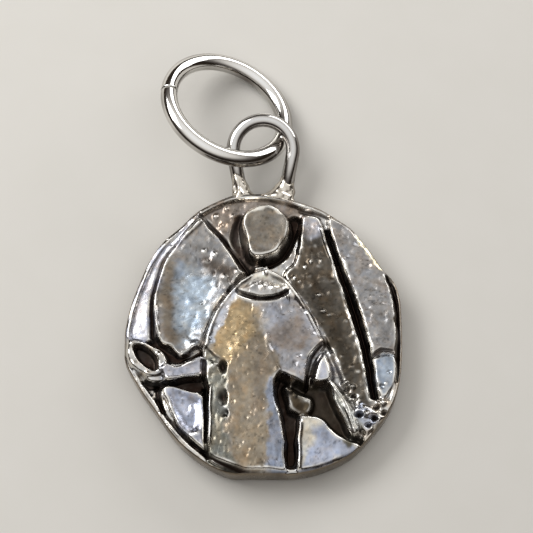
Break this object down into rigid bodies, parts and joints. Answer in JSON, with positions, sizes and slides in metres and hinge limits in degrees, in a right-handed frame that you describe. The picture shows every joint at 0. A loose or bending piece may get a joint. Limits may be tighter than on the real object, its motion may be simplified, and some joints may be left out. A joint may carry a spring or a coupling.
{
  "type": "charm pendant",
  "caption": "Round cast silver medallion with a winged robed figure in relief, a soldered wire bail and a loose jump ring to hang it by.",
  "frame": {"origin": "centre of the medallion's flat back", "axes": "+Z out of the medallion's face, +Y from the hem of the figure to the bail, +X to the right as the face is seen"},
  "size_m": [0.0159, 0.0259, 0.0045],
  "materials": {
    "cast_silver": "cast sterling silver, tumbled bright on the high places and darkened in the recesses",
    "silver_wire": "drawn sterling silver wire, polished",
    "silver_solder": "silver solder, flowed and cleaned",
    "ring_silver": "drawn sterling silver wire, polished"
  },
  "bodies": {
    "charm": {"medallion": "cast_silver", "bail_loop": "silver_wire", "solder_left": "silver_solder", "solder_right": "silver_solder"},
    "jump_ring": {"jump_ring": "ring_silver"}
  },
  "joints": [
    {"name": "jump_ring_swing", "type": "hinge", "parent": "charm", "child": "jump_ring", "pos_m": [0, 0.01275, 0.00268], "axis": [0.6403, 0.056, 0.766], "range_deg": [-135, 28]}
  ]
}
